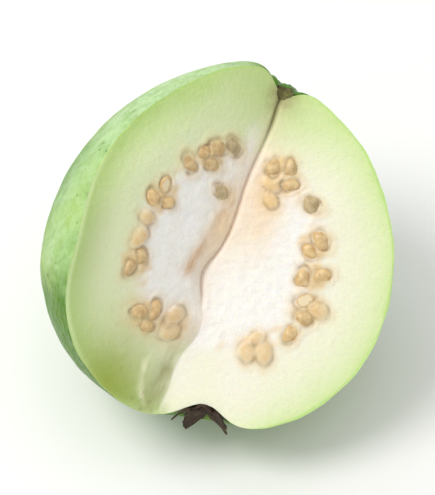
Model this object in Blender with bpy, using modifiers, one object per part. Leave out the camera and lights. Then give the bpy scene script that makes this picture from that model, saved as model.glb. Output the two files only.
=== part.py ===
"""A guava with a wide wedge cut out of it lengthwise, lying on its rounded back.

Metres, +Z up. The fruit is shaped in a frame of its own: its middle is the middle of the seed ball,
+Z runs to the stem end, and the cut faces look along -Y. It is then leaned back and set on its flat foot.
"""

import math
import random

import bmesh
import bpy
from mathutils import Matrix, Vector, noise

MM = 0.001

# The whole fruit: a turned body, wider below its middle and more pointed at the stem end.
BODY_RADIUS = 33.7 * MM
WIDEST_AT = -3.1 * MM
STEM_END = 36.0 * MM
BLOSSOM_END = -34.7 * MM
STEM_HALF_POWER = 1.85
BLOSSOM_HALF_POWER = 2.15
PROFILE_POINTS = 15
BODY_SIDES = 60
MERGE_DISTANCE = 0.01 * MM
SHARP_ANGLE = math.radians(35)

# The dimple round the stem scar and the basin round the calyx lie to the right of the body's axis.
STEM_AT = 3.8 * MM
STEM_DIMPLE_DEPTH = 3.7 * MM
STEM_DIMPLE_WIDTH = 3.6 * MM
CALYX_AT = 4.3 * MM
BASIN_DEPTH = 4.9 * MM
BASIN_WIDTH = 5.8 * MM

# The right shoulder is a little lower than the left one.
SHOULDER_AT = 13 * MM
SHOULDER_DROP = 1.5 * MM
SHOULDER_WIDTH = 10 * MM

# Furrows that run out from the stem end, and the slow lumps of the skin.
FURROWS = 9
FURROW_DEPTH = 0.3 * MM
FURROW_REACH = 14 * MM
LUMP_HEIGHT = 0.55 * MM
LUMP_SIZE = 17 * MM

# The wedge that is cut out: its crease runs through the middle, a little aslant of the axis.
CREASE_SLANT = math.radians(6.5)
LEFT_FACE_RISE = math.radians(35)

# Seeds stand in clumps round a ring on each cut face: degrees from the stem end of the crease,
# distance from the middle in mm, and how many. Sizes are shares of the usual one, the tip is in radians.
RIGHT_CLUMPS = (
    (18, 18.0, 4),
    (24, 13.2, 1),
    (43, 19.1, 1),
    (67, 17.8, 2),
    (86, 18.0, 2),
    (104, 20.3, 3),
    (120, 21.0, 1),
    (140, 20.0, 3),
)
LEFT_CLUMPS = (
    (18, 19.8, 1),
    (33, 18.9, 3),
    (48, 19.2, 1),
    (73, 18.2, 3),
    (89, 18.7, 1),
    (101, 19.1, 1),
    (115, 19.2, 2),
    (148, 20.0, 3),
    (164, 17.5, 2),
    (26, 11.3, 1),
)
SEED_LENGTH = 4.3 * MM
SEED_WIDTH = 3.0 * MM
SEED_THICKNESS = 2.6 * MM
SEED_SPACING = 3.3 * MM
SEED_PROUD = 0.6 * MM
SEED_SIZES = (0.85, 1.15)
SEED_TIP = 0.3
SEED_DRAW = 7
SEED_SIDES = 8
SEED_BANDS = 6

# The stub left in the stem scar.
STUB_SIDES = 12
STUB_RADIUS = 1.9 * MM
STUB_TAPER = 0.75
STUB_HEIGHT = 2.4 * MM
STUB_PROUD = 1.1 * MM

# The dried calyx: a ring with five sepals that lie back against the wall of the basin.
SEPALS = 5
SEPAL_LENGTH = 3.8 * MM
SEPAL_THICKNESS = 0.7 * MM
SEPAL_RINGS = 4
SIDES_PER_SEPAL = 8
SEPAL_POINTEDNESS = 1.5
CALYX_RADIUS = 2.0 * MM
TOUCH_GAP = 0.35 * MM

# How it lies: rolled about the line of sight, leaned back, and set on a small flat foot.
ROLL = math.radians(14.8)
LEAN_BACK = math.radians(55)
FOOT_DEPTH = 1.6 * MM
BLOCK = 0.2


def principled(name, colour, roughness):
    """A plain material of one colour, as linear red, green and blue."""
    material = bpy.data.materials.new(name)
    material.use_nodes = True
    shader = material.node_tree.nodes["Principled BSDF"]
    shader.inputs["Base Color"].default_value = (*colour, 1)
    shader.inputs["Roughness"].default_value = roughness
    shader.inputs["Metallic"].default_value = 0
    return material


def collection_named(name):
    collection = bpy.data.collections.new(name)
    bpy.context.scene.collection.children.link(collection)
    return collection


def object_from(name, body, collection):
    """A new object from a bmesh, in a collection."""
    mesh = bpy.data.meshes.new(name)
    body.to_mesh(mesh)
    body.free()
    made = bpy.data.objects.new(name, mesh)
    collection.objects.link(made)
    return made


def apply_modifiers(thing):
    """Keeps the shape that the modifiers give, and drops the modifiers."""
    bpy.context.view_layer.update()
    graph = bpy.context.evaluated_depsgraph_get()
    mesh = bpy.data.meshes.new_from_object(thing.evaluated_get(graph))
    thing.modifiers.clear()
    thing.data = mesh


def body_radius(height):
    """The turned body's radius at a height along its axis."""
    if height > WIDEST_AT:
        share = (height - WIDEST_AT) / (STEM_END - WIDEST_AT)
        power = STEM_HALF_POWER
    else:
        share = (WIDEST_AT - height) / (WIDEST_AT - BLOSSOM_END)
        power = BLOSSOM_HALF_POWER
    return BODY_RADIUS * max(0.0, 1 - share**power) ** (1 / power)


def body_profile():
    """Points (radius, height) down the outer side, from the stem end to the blossom end."""
    points = []
    for end in (STEM_END, BLOSSOM_END):
        half = []
        for step in range(PROFILE_POINTS + 1):
            height = WIDEST_AT + (end - WIDEST_AT) * math.sin(math.pi / 2 * step / PROFILE_POINTS)
            half.append((body_radius(height), height))
        points += half[::-1] if end == STEM_END else half[1:]
    return points


def hollow(across, width):
    """The share of a dimple's depth at a distance from its middle."""
    return math.exp(-((across / width) ** 2))


def shape_skin(point):
    """Moves a point of the turned body: furrows, lumps, then the dimple, the low shoulder and the basin."""
    x, y, z = point
    stem_side = max(0.0, 1 - (STEM_END - z) / FURROW_REACH)
    from_stem = math.hypot(x - STEM_AT, y)
    turn = math.atan2(y, x - STEM_AT)
    furrow = FURROW_DEPTH * stem_side * min(1.0, from_stem / STEM_DIMPLE_WIDTH) * math.cos(FURROWS * turn)
    lump = LUMP_HEIGHT * noise.noise(Vector(point) / LUMP_SIZE)
    across = math.hypot(x, y)
    swell = 1 + (furrow + lump) / BODY_RADIUS
    if across > 0:
        x *= swell
        y *= swell
    if z > 0:
        z += (furrow + lump) * (1 - across / BODY_RADIUS)
        z -= STEM_DIMPLE_DEPTH * hollow(from_stem, STEM_DIMPLE_WIDTH)
        z -= SHOULDER_DROP * hollow(math.hypot(point[0] - SHOULDER_AT, y), SHOULDER_WIDTH) * (z / STEM_END)
    else:
        z += BASIN_DEPTH * hollow(math.hypot(x - CALYX_AT, y), BASIN_WIDTH)
    return Vector((x, y, z))


def turned_fruit(collection):
    """The whole fruit: a profile turned about Z, then shaped by formula."""
    mesh = bpy.data.meshes.new("cut_guava")
    points = body_profile()
    edges = [(first, first + 1) for first in range(len(points) - 1)]
    mesh.from_pydata([(radius, 0, height) for radius, height in points], edges, [])
    fruit = bpy.data.objects.new("cut_guava", mesh)
    collection.objects.link(fruit)
    turn = fruit.modifiers.new("turn", "SCREW")
    turn.steps = BODY_SIDES
    turn.render_steps = BODY_SIDES
    turn.use_merge_vertices = True
    turn.merge_threshold = MERGE_DISTANCE
    apply_modifiers(fruit)
    for vertex in fruit.data.vertices:
        vertex.co = shape_skin(vertex.co)
    return fruit


def crease_direction():
    return Vector((math.sin(CREASE_SLANT), 0, math.cos(CREASE_SLANT)))


def outward(face):
    """Unit vector in a cut face, square to the crease and away from it."""
    right = Vector((math.cos(CREASE_SLANT), 0, -math.sin(CREASE_SLANT)))
    if face == "right":
        return right
    return Vector((0, -1, 0)) * math.sin(LEFT_FACE_RISE) - right * math.cos(LEFT_FACE_RISE)


def face_normal(face):
    """Unit vector out of a cut face, into the notch."""
    normal = crease_direction().cross(outward(face))
    return -normal if normal.y > 0 else normal


def half_space(name, normal, collection):
    """A large block whose one side is the plane through the middle, with its bulk along the normal."""
    body = bmesh.new()
    bmesh.ops.create_cube(body, size=BLOCK)
    bmesh.ops.translate(body, verts=body.verts, vec=(0, 0, BLOCK / 2))
    block = object_from(name, body, collection)
    up = crease_direction()
    side = up.cross(normal)
    turn = Matrix((side, up, normal)).transposed().to_4x4()
    if turn.determinant() < 0:
        turn = Matrix((-side, up, normal)).transposed().to_4x4()
    block.matrix_world = turn
    block.display_type = "WIRE"
    block.hide_render = True
    return block


def boolean(thing, operation, operand, solver="EXACT"):
    """Cuts a mesh or joins it with another object or with all the objects of a collection."""
    cut = thing.modifiers.new(operation.lower(), "BOOLEAN")
    cut.operation = operation
    if isinstance(operand, bpy.types.Collection):
        cut.operand_type = "COLLECTION"
        cut.collection = operand
    else:
        cut.object = operand
    cut.solver = solver
    return cut


def wedge_cutter(collection):
    """The wedge: the part of the space before the right face that is also before the left face."""
    before_right = half_space("wedge", face_normal("right"), collection)
    behind_left = half_space("behind_left_face", -face_normal("left"), collection)
    boolean(before_right, "DIFFERENCE", behind_left)
    return before_right


def seed(collection, middle, normal, draw):
    """One seed: a flattened ball, most of it sunk in the pulp, turned at random in the face."""
    size = draw.uniform(*SEED_SIZES)
    body = bmesh.new()
    bmesh.ops.create_uvsphere(body, u_segments=SEED_SIDES, v_segments=SEED_BANDS, radius=size / 2)
    bmesh.ops.scale(body, verts=body.verts, vec=(SEED_WIDTH, SEED_LENGTH, SEED_THICKNESS))
    grain = object_from("seed", body, collection)
    lie = normal.to_track_quat("Z", "Y").to_matrix()
    spin = Matrix.Rotation(draw.uniform(0, math.pi), 3, "Z")
    tip = Matrix.Rotation(draw.uniform(-SEED_TIP, SEED_TIP), 3, "X")
    sunk = middle + normal * (SEED_PROUD - SEED_THICKNESS * size / 2)
    grain.matrix_world = Matrix.Translation(sunk) @ (lie @ spin @ tip).to_4x4()


def all_seeds(collection):
    """The clumps of both faces, each with its seeds spaced round its middle."""
    draw = random.Random(SEED_DRAW)
    up = crease_direction()
    for face, clumps in (("right", RIGHT_CLUMPS), ("left", LEFT_CLUMPS)):
        out = outward(face)
        normal = face_normal(face)
        for degrees, ring, count in clumps:
            angle = math.radians(degrees)
            middle = (up * math.cos(angle) + out * math.sin(angle)) * ring * MM
            spread = 0 if count == 1 else SEED_SPACING / 2 / math.sin(math.pi / count)
            first = draw.uniform(0, 2 * math.pi)
            for place in range(count):
                turn = first + 2 * math.pi * place / count
                beside = (up * math.cos(turn) + out * math.sin(turn)) * spread
                seed(collection, middle + beside, normal, draw)


def stem_stub(collection):
    """The woody stub in the middle of the stem dimple, sunk in the flesh."""
    body = bmesh.new()
    bmesh.ops.create_cone(
        body,
        cap_ends=True,
        segments=STUB_SIDES,
        radius1=STUB_RADIUS,
        radius2=STUB_RADIUS * STUB_TAPER,
        depth=STUB_HEIGHT,
    )
    stub = object_from("stem_stub", body, collection)
    floor = body_top(STEM_AT) - STEM_DIMPLE_DEPTH
    stub.location = (STEM_AT, 0, floor + STUB_PROUD - STUB_HEIGHT / 2)
    return stub


def body_top(across):
    """The turned body's height at a distance from its axis, on the stem side."""
    share = (1 - (across / BODY_RADIUS) ** STEM_HALF_POWER) ** (1 / STEM_HALF_POWER)
    return WIDEST_AT + (STEM_END - WIDEST_AT) * share


def discard(collection):
    """Removes a collection's objects and then the collection."""
    for thing in list(collection.objects):
        bpy.data.objects.remove(thing)
    bpy.data.collections.remove(collection)


def basin_point(fruit, reach, turn):
    """A point just clear of the basin's wall, found by a ray along the fruit's axis."""
    x = CALYX_AT + reach * math.cos(turn)
    y = reach * math.sin(turn)
    point = fruit.ray_cast(Vector((x, y, -BLOCK)), Vector((0, 0, 1)))[1]
    return point - Vector((0, 0, TOUCH_GAP))


def calyx_sheet(fruit, collection):
    """The dried calyx: one star-shaped sheet along the basin's wall, made thick on its open side."""
    sides = SEPALS * SIDES_PER_SEPAL
    body = bmesh.new()
    middle = body.verts.new(basin_point(fruit, 0, 0))
    rings = []
    for ring in range(1, SEPAL_RINGS + 1):
        row = []
        for side in range(sides):
            turn = 2 * math.pi * side / sides
            lobe = abs(math.cos(SEPALS * turn / 2)) ** SEPAL_POINTEDNESS
            reach = (CALYX_RADIUS + SEPAL_LENGTH * lobe) * ring / SEPAL_RINGS
            row.append(body.verts.new(basin_point(fruit, reach, turn)))
        rings.append(row)
    for side in range(sides):
        following = (side + 1) % sides
        body.faces.new((middle, rings[0][following], rings[0][side]))
        for inner, outer in zip(rings, rings[1:]):
            body.faces.new((inner[side], inner[following], outer[following], outer[side]))
    calyx = object_from("dried_calyx", body, collection)
    thick = calyx.modifiers.new("thickness", "SOLIDIFY")
    thick.thickness = SEPAL_THICKNESS
    thick.offset = 1
    return calyx


def shade(thing, material):
    thing.data.materials.clear()
    thing.data.materials.append(material)
    thing.data.shade_smooth()
    thing.data.set_sharp_from_angle(angle=SHARP_ANGLE)


def lowest_and_highest(things):
    """The corners of the box round some objects, in world space."""
    bpy.context.view_layer.update()
    corners = [thing.matrix_world @ vertex.co for thing in things for vertex in thing.data.vertices]
    low = Vector([min(corner[axis] for corner in corners) for axis in range(3)])
    high = Vector([max(corner[axis] for corner in corners) for axis in range(3)])
    return low, high


def lay_down(pieces, collection):
    """Leans the pieces back together and sets them over the origin, the foot's depth into the floor."""
    lean = bpy.data.objects.new("lean", None)
    collection.objects.link(lean)
    lean.rotation_mode = "ZYX"
    lean.rotation_euler = (-LEAN_BACK, ROLL, 0)
    for piece in pieces:
        piece.parent = lean
    low, high = lowest_and_highest(pieces)
    middle = (low + high) / 2
    lean.location = (-middle.x, -middle.y, -low.z - FOOT_DEPTH)


def floor_cutter(collection):
    """A block whose top is the surface that the fruit lies on."""
    body = bmesh.new()
    bmesh.ops.create_cube(body, size=BLOCK)
    block = object_from("floor", body, collection)
    block.location = (0, 0, -BLOCK / 2)
    block.display_type = "WIRE"
    block.hide_render = True
    return block


def main():
    for thing in list(bpy.data.objects):
        bpy.data.objects.remove(thing)
    parts = collection_named("guava")
    cutters = collection_named("cutters")
    seeds = collection_named("seeds")

    fruit = turned_fruit(parts)
    calyx = calyx_sheet(fruit, parts)
    wedge = wedge_cutter(cutters)
    stub = stem_stub(cutters)
    all_seeds(seeds)
    boolean(fruit, "UNION", stub)
    boolean(fruit, "DIFFERENCE", wedge)
    boolean(fruit, "UNION", seeds)
    apply_modifiers(fruit)
    boolean(calyx, "DIFFERENCE", wedge, "MANIFOLD")
    apply_modifiers(calyx)
    discard(seeds)
    bpy.data.objects.remove(stub)

    lay_down((fruit, calyx), parts)
    boolean(fruit, "DIFFERENCE", floor_cutter(cutters))
    apply_modifiers(fruit)
    shade(fruit, principled("guava_skin", (0.16, 0.38, 0.02), 0.4))
    shade(calyx, principled("dried_calyx", (0.12, 0.07, 0.03), 0.8))


main()
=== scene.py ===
"""The looks of a guava with a wide wedge cut out of it lengthwise, lying on its rounded back.

Metres, +Z up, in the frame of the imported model. The fruit is shaped in a frame of its own, as in the
model's source: its middle is the middle of the seed ball, +Z runs to the stem end, and the cut faces
look along -Y. The lean then sets it down.
"""

import math
import random
from collections import defaultdict

import bpy
import numpy as np
from mathutils import Matrix, Vector, noise
from mathutils.bvhtree import BVHTree


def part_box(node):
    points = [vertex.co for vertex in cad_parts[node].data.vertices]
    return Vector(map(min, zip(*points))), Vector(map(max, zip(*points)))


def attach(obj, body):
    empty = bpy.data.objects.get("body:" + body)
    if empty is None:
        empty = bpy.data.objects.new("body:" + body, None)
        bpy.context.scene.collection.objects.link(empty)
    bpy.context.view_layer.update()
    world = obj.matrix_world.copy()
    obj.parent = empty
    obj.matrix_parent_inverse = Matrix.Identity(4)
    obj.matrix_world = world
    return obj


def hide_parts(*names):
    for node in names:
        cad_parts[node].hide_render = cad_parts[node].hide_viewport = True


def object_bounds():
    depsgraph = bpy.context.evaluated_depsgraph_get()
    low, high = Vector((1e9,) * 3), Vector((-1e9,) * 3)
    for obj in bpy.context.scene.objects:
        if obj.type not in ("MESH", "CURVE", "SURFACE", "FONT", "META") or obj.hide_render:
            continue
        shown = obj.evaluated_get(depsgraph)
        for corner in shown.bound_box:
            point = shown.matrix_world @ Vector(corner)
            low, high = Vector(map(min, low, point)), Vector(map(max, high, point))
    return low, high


MM = 0.001

# The whole fruit: a turned body, wider below its middle and more pointed at the stem end.
BODY_RADIUS = 33.7 * MM
WIDEST_AT = -3.1 * MM
STEM_END = 36.0 * MM
BLOSSOM_END = -34.7 * MM
STEM_HALF_POWER = 1.85
BLOSSOM_HALF_POWER = 2.15

# The dimple round the stem scar and the basin round the calyx lie to the right of the body's axis.
STEM_AT = 3.8 * MM
STEM_DIMPLE_DEPTH = 3.7 * MM
STEM_DIMPLE_WIDTH = 3.6 * MM
CALYX_AT = 4.3 * MM
BASIN_DEPTH = 4.9 * MM
BASIN_WIDTH = 5.8 * MM

# The right shoulder is a little lower than the left one.
SHOULDER_AT = 13 * MM
SHOULDER_DROP = 1.5 * MM
SHOULDER_WIDTH = 10 * MM

# Furrows that run out from the stem end, and the slow lumps of the skin.
FURROWS = 9
FURROW_DEPTH = 0.3 * MM
FURROW_REACH = 14 * MM
LUMP_HEIGHT = 0.55 * MM
LUMP_SIZE = 17 * MM

# The wedge that is cut out: its crease runs through the middle, a little aslant of the axis.
CREASE_SLANT = math.radians(6.5)
LEFT_FACE_RISE = math.radians(35)

# Seeds stand in clumps round a ring on each cut face: degrees from the stem end of the crease,
# distance from the middle in mm, and how many.
RIGHT_CLUMPS = (
    (18, 18.0, 4),
    (24, 13.2, 1),
    (43, 19.1, 1),
    (67, 17.8, 2),
    (86, 18.0, 2),
    (104, 20.3, 3),
    (120, 21.0, 1),
    (140, 20.0, 3),
)
LEFT_CLUMPS = (
    (18, 19.8, 1),
    (33, 18.9, 3),
    (48, 19.2, 1),
    (73, 18.2, 3),
    (89, 18.7, 1),
    (101, 19.1, 1),
    (115, 19.2, 2),
    (148, 20.0, 3),
    (164, 17.5, 2),
    (26, 11.3, 1),
)
SEED_LENGTH = 4.3 * MM
SEED_WIDTH = 3.0 * MM
SEED_THICKNESS = 2.6 * MM
SEED_SPACING = 3.3 * MM
SEED_PROUD = 0.6 * MM
SEED_SIZES = (0.85, 1.15)
SEED_TIP = 0.3
SEED_DRAW = 7
FATE_DRAW = 3

# Clumps with dark, grey-green seeds, by face and degrees. How the knife leaves a seed: three shares.
DARK_CLUMPS = (("right", 43), ("left", 18), ("left", 26))
BARE_CLUMPS = (("right", 67), ("right", 86), ("left", 33), ("left", 115))
COVERED_CLUMPS = (("left", 164),)
FATES = {"bare": 5, "covered": 6, "sliced": 1}

# How grey a seed is, how much it tapers, how far it bends to one side, and its lumps as (size, height).
DARK_SHADES = (0.8, 1.0)
TAN_SHADES = (0, 0.35)
TAPERS = (0.3, 1.0)
SEED_TAPER = 0.45
SEED_BEND = 0.9 * MM
SEED_LUMPS = ((2.1 * MM, 0.7 * MM), (0.9 * MM, 0.16 * MM))

# How it lies, as in the model.
ROLL = math.radians(14.8)
LEAN_BACK = math.radians(55)

# The stub left in the stem scar. Its ridges are (how many, height as a share of its radius, twist). Its
# radius starts at a share of its foot's curve, flares, and narrows a little towards the top.
STUB_RADIUS = 1.9 * MM
STUB_HEIGHT = 2.4 * MM
STUB_PROUD = 1.1 * MM
STUB_RIDGES = ((9, 0.07, 2), (17, 0.05, -3))
STUB_FOOT = 0.12
STUB_FLARE = 1.5
STUB_NARROWS = 0.25

# Its broken top sinks in steps at these shares of its radius, and its bark has lumps, here in mm.
STUB_STEPS = (0.8, 0.55, 0.3)
STEP_DEPTH = 0.5 * MM
STEP_SIZE = 0.6 * MM
TOP_SINKS = 0.3 * MM
BARK_LUMP_SIZE = 0.9
BARK_LUMP_HEIGHT = 0.16
BARK_LUMPS_APART = (0, 40, 80)

# The dried calyx in its basin. Its ragged lobes are (how fine, height as a share of its reach), its tuft's
# breaks (how fine, base, swing), both noise that is read round a circle at one level.
SEPALS = 5
SEPAL_LENGTH = 4.0 * MM
SEPAL_LENGTHS = (0.9, 1.05, 0.55, 0.85, 0.95)
SEPAL_THICKNESS = 0.6 * MM
EDGE_THICKNESS = 0.4
SEPAL_POINTEDNESS = 0.9
SEPAL_CURL = 1.5 * MM
SEPAL_RIDGE = 0.45 * MM
SEPAL_LOBES = ((6, 0.14), (17, 0.1))
CRUMPLE_SIZE = 1.6 * MM
CRUMPLE_HEIGHT = 0.5 * MM
CALYX_NOISE_LEVEL = 0.3
CALYX_RADIUS = 3.2 * MM
TUFT_RADIUS = 1.7 * MM
TUFT_HEIGHT = 0.9 * MM
TUFT_WIDTH = 0.6 * MM
TUFT_BREAKS = (9, 0.8, 0.9)
TOUCH_GAP = 0.35 * MM

# The skin is brown round the calyx and the stem: how brown, up to where, and where it is gone.
CALYX_STAIN = (1, 3.6 * MM, 7.2 * MM)
STEM_STAIN = (0.8, 1.6 * MM, 3.4 * MM)

# A pale strip beside the left cut is painted sheen, dimmer lower down; below it a deeper green is painted
# shade.
SHEEN_BEHIND = (7 * MM, 17 * MM)
PAINTED_STRIP_SIDE = (4 * MM, 12 * MM)
SHEEN_FROM = -21.0 * MM
SHEEN_EDGE = 9.0 * MM
SHADED_SHEEN = 0.68
SHEEN_BRIGHTENS = (2 * MM, 20 * MM)
SHADED_GREEN_BEHIND = (12 * MM, 26 * MM)

# Dents in the skin, and the wrinkles that run out from the stem.
DENT_STRETCH = (1, 1, 2.4)
DENT_LIMIT = 0.25
DENT_DEPTH = 0.35 * MM
WRINKLES = 31
WRINKLE_HEIGHT = 0.07 * MM
WRINKLE_REACH = 18 * MM
WRINKLE_START = 4 * MM

# Noise over the fruit, by name: the size of its lumps in mm, its height, and a number of its own.
NOISE = {
    "skin bumps": (6, 0.2 * MM, 4),
    "skin grain": (2.6, 0.08 * MM, 9),
    "dents": (3.2, 1, 13),
    "dent groups": (14, 1, 17),
    "wrinkle sway": (6, 3, 2),
    "skin lobes": (2.2, 1.3 * MM, 41),
    "rough": (1.5, 1, 11),
    "broken": (1.9, 1, 12),
    "pulp edge": (5, 1.2 * MM, 5),
    "pulp grain": (1.7, 0.10 * MM, 6),
    "pulp fine": (0.8, 0.05 * MM, 8),
    "face swell": (9, 0.16 * MM, 1),
    "tissue": (2.6, 1.6, 51),
    "scar edge": (1.6, 0.9 * MM, 31),
    "mark edges": (2.2, 0.5 * MM, 3),
    "band breaks": (3, 0.6, 21),
    "specks": (1.1, 3.2, 61),
}
NOISE_STEP = (1, 2.3, -1.7)

# How finely the surfaces are divided. A spoke of a face has points at these shares of its length.
DENSE_TURNS = 420
DENSE_ROWS = 300
RAYS = 230
SKIN_STRIPS = 190
FACE_STEPS = 88
RIM_SHARE = 0.9955
SPOKE_SHARES = [step / FACE_STEPS for step in range(1, FACE_STEPS)] + [RIM_SHARE]
SEED_TURNS = 22
SEED_ROWS = 14

# The knife's slit along the crease. The relief of the faces starts a little way off it.
SLIT_DEPTH = 0.9 * MM
SLIT_WIDTH = 0.4 * MM
SLIT_FADE = 4 * MM
SLIT_END = -13 * MM
RELIEF_FROM = 1.2 * MM

# The crease strays by (how far right, where up from the middle, how widely) in mm, and wavers finely.
CREASE_STRAYS = ((-1.5, -5.5, 4), (1.5, -16.5, 4.5), (0.8, -33, 6))
CREASE_BAND = 2.5 * MM
CREASE_STEADIES = (26 * MM, 32 * MM)
WAVER_HEIGHT = 0.25 * MM
WAVER_SIZE = 3.1 * MM

# Near the skin the left cut bends out of its plane: by how much, where round the rim, and how widely.
RIM_BENDS = ((-3.5, 58, 26), (4.5, 106, 17))
BEND_FROM = 0.72

# A sliced seed's flat top stands this far out of the face. Its kernel shows within this share of its size.
SLICE_HEIGHT = 0.22 * MM
KERNEL_REACH = 0.58

# What a seed does to the face round it. Distances are shares of its half width and half length. Stains
# have a strength and two distances between which they fade, gaps and swells a strength, a middle and a
# width, a lip only the last two. Breaks are (base, swing) of a strength that varies with noise.
SEED_ROUGHNESS = 0.14
SEED_BREAKS = (0.5, 1.1)
SEED_STAIN = (0.6, 0.7, 2.2)
CLUMP_ROUGHNESS = 0.25
CLUMP_BREAKS = (0.75, 0.25)
CLUMP_FADES = (0.65, 1.25)
# The gaps beside a seed are painted shade.
OUTER_GAP_SHADE = (0.9, 1.05, 0.2)
OUTER_SIDE = (0.35, 0.9)
EDGE_GAP_SHADE = (0.9, 0.97, 0.15)
LIP_HEIGHT = 0.28 * MM
LIP = (1.0, 0.2)
SWELL = (0.14 * MM, 1.4, 0.22)
COVER_REACH = 1.05
COVER_LIFT = 0.7 * MM
COVER_STAIN = (1, 0.5, 1.3)
COVER_GAP_SHADE = (0.75, 1.02, 0.17)

# The green under the skin reaches deeper on the left face, as painted shade, and at the stem end, and less
# deep
# at the blossom end: by what share the flesh is less or more ripe, and between which distances from the
# middle.
LEFT_FACE_SHADE = 0.4
STEM_GREENER = 0.5
STEM_GREENER_FROM = (15 * MM, 31 * MM)
BLOSSOM_RIPER = 0.4
BLOSSOM_RIPER_FROM = (16 * MM, 31 * MM)

# The pulp ends between these distances from the middle, and the flesh has less grain than the pulp.
PULP_ENDS = (17 * MM, 21.5 * MM)
FLESH_GRAIN = 0.25

# Marks on the left face, between two places given as mm up the crease and mm out from it. Breaks are
# (base, swing), swells the same with a lowest and a highest value, streaks (width, length, number).
STREAKS = (0.7 * MM, 4.2 * MM, 7)
STRAND = ((-22.9, 6.4), (-33.9, 3.2))
STRAND_BOW = 1.7
STRAND_WIDTH = 0.48 * MM
STRAND_HEIGHT = 0.22 * MM
STRAND_RAGGED = 0.6
STRAND_SWELLS = (1.1, 0.8, 0.6, 2)
STRAND_BREAKS = (0.9, 0.5)
STRAND_STARTS = 0.25
STRAND_STOPS = 9
SMEAR = ((7.6, 2.7), (-6.0, 5.5))
SMEAR_WIDTH = 1.35 * MM
SMEAR_STARTS = (0.6, 0.4)
SMEAR_GROWS = 0.6
SMEAR_BREAKS = (0.85, 0.6)
BAND = ((-17.0, 1.2), (-34.0, 2.6))
BAND_WIDTH = 1.9 * MM
BAND_DEPTH = 0.25 * MM
BAND_RAGGED = 1.4
BAND_COVER = 0.85
BAND_STREAKS = 0.7
BAND_ENDS = 0.35
BAND_DARKEST = (0.65, 0.28)
MASS = ((-17.0, 12.6), (-17.0, 4.6))
MASS_WIDTH = 2.9 * MM
MASS_STRENGTH = 0.9
MASS_RAGGED = 1.6
MASS_FLATNESS = 0.7

# Patches of a face: up the crease, out from it, half length and half width, in mm.
WARM = {"right": (9.5, 4.2, 9.0, 4.2), "left": (4.0, 2.0, 10.0, 3.0)}
OLIVE = {"right": (-36.0, 0.0, 3.0, 3.0), "left": (-33.0, 13.5, 11.5, 10.0)}
OLIVE_RAGGED = 1.2 * MM
PALE = (19.0, 2.8, 5.0, 1.9)
PALE_STRENGTH = 0.85

# Round the stem the flesh stays green, and tan tissue joins the seeds in patches round their ring.
SHOULDER_GREEN = 9.5 * MM
SEED_RING = 18.6 * MM
SEED_RING_WIDTH = 1.6 * MM
CLUMP_MARGIN = 1.7 * MM
TISSUE_STRENGTH = 0.65
TISSUE_COVER = 0.15
TISSUE_RAGGED = 0.8 * MM
TISSUE_CLEAR = (2 * MM, 6 * MM)

# A pink blush runs along the crease, and fades out between these heights below the middle.
BLUSH_ENDS = (-22 * MM, -8 * MM)
BLUSH_WIDTH = 2.2 * MM

# Dark specks near the blossom end of the left face.
SPECKS = (-33.0, 5.0, 2.6, 3.6)
SPECK_LIMIT = 0.9
SPECK_STRENGTH = 0.8

# A brown vein runs down the crease from the stem scar, which is stained (strength, middle, width).
VEIN_WIDTH = 0.5 * MM
VEIN_FROM = 21 * MM
VEIN_FADE = 7 * MM
SCAR_AT = 31.5 * MM
SCAR_STAIN = (0.8, 0, 3.0 * MM)

# Inside the left rim runs a painted highlight, a pale line, and a greener verge inside that. Both fade
# towards the stem.
RIM_HIGHLIGHT_AT = 0.45 * MM
RIM_HIGHLIGHT_WIDTH = 0.4 * MM
RIM_HIGHLIGHT_STRENGTH = 0.8
RIM_HIGHLIGHT_FADES = (0, 15 * MM)
VERGE_WIDTH = 4.5 * MM
VERGE_FADES = (20 * MM, 30 * MM)

# Beside the basin the flesh is cream right up to the skin.
CREAM_AT = (4.3 * MM, 0, -31 * MM)
CREAM_REACH = 8.5 * MM
CREAM_DEPTH = 9 * MM

# How finely the stub and the calyx are divided, and how far the wood stands out of the cut.
STUB_SIDES = 56
STUB_BANDS = 22
WOOD_PROUD = 0.08 * MM
CUT_ALIGNMENT = 0.9999
SHARP_ANGLE = math.radians(50)
WEDGE_REACH = 3
CALYX_SIDES = 26
CALYX_RINGS = 18

# The floor and the camera.
FLOOR_REACH = 1.5
SENSOR = 36
CAMERA_DISTANCE = 0.6
FRAME_WIDTH = 0.084
NEAR_CLIP = 0.01

# The light from all round, by height, and the lamps. A lamp has its place to the right of the object, up
# and towards the camera, then its size, its power and its colour.
WORLD_STRENGTH = 0.84
SKY_STOPS = ((0.05, (0.40, 0.42, 0.42)), (0.45, (0.80, 0.80, 0.78)), (0.85, (1.0, 1.0, 0.985)))
LAMP_AIM = 0.03
LAMPS = (
    ("key", (-0.35, 0.3, 0.5), 0.35, 2.3, (1.0, 0.98, 0.95)),
    ("window", (-0.5, 0.45, -0.05), 0.4, 0.8, (0.88, 0.95, 1.0)),
)

# What is the same all over each material.
UNIFORM = {
    "guava_skin": {"IOR": 1.4, "Coat Weight": 0.1, "Coat Roughness": 0.2, "Specular IOR Level": 0.2},
    "guava_flesh": {
        "IOR": 1.4,
        "Subsurface Weight": 0.25,
        "Subsurface Radius": (1.0, 0.8, 0.45),
        "Subsurface Scale": 2 * MM,
    },
    "guava_seed": {"IOR": 1.5, "Coat Weight": 0.25, "Coat Roughness": 0.2},
    "dry_tissue": {"Roughness": 0.75},
    "stub_wood": {"Roughness": 0.7},
    "pale_floor": {"Roughness": 0.55, "Base Color": (0.93, 0.93, 0.93, 1)},
}

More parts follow.
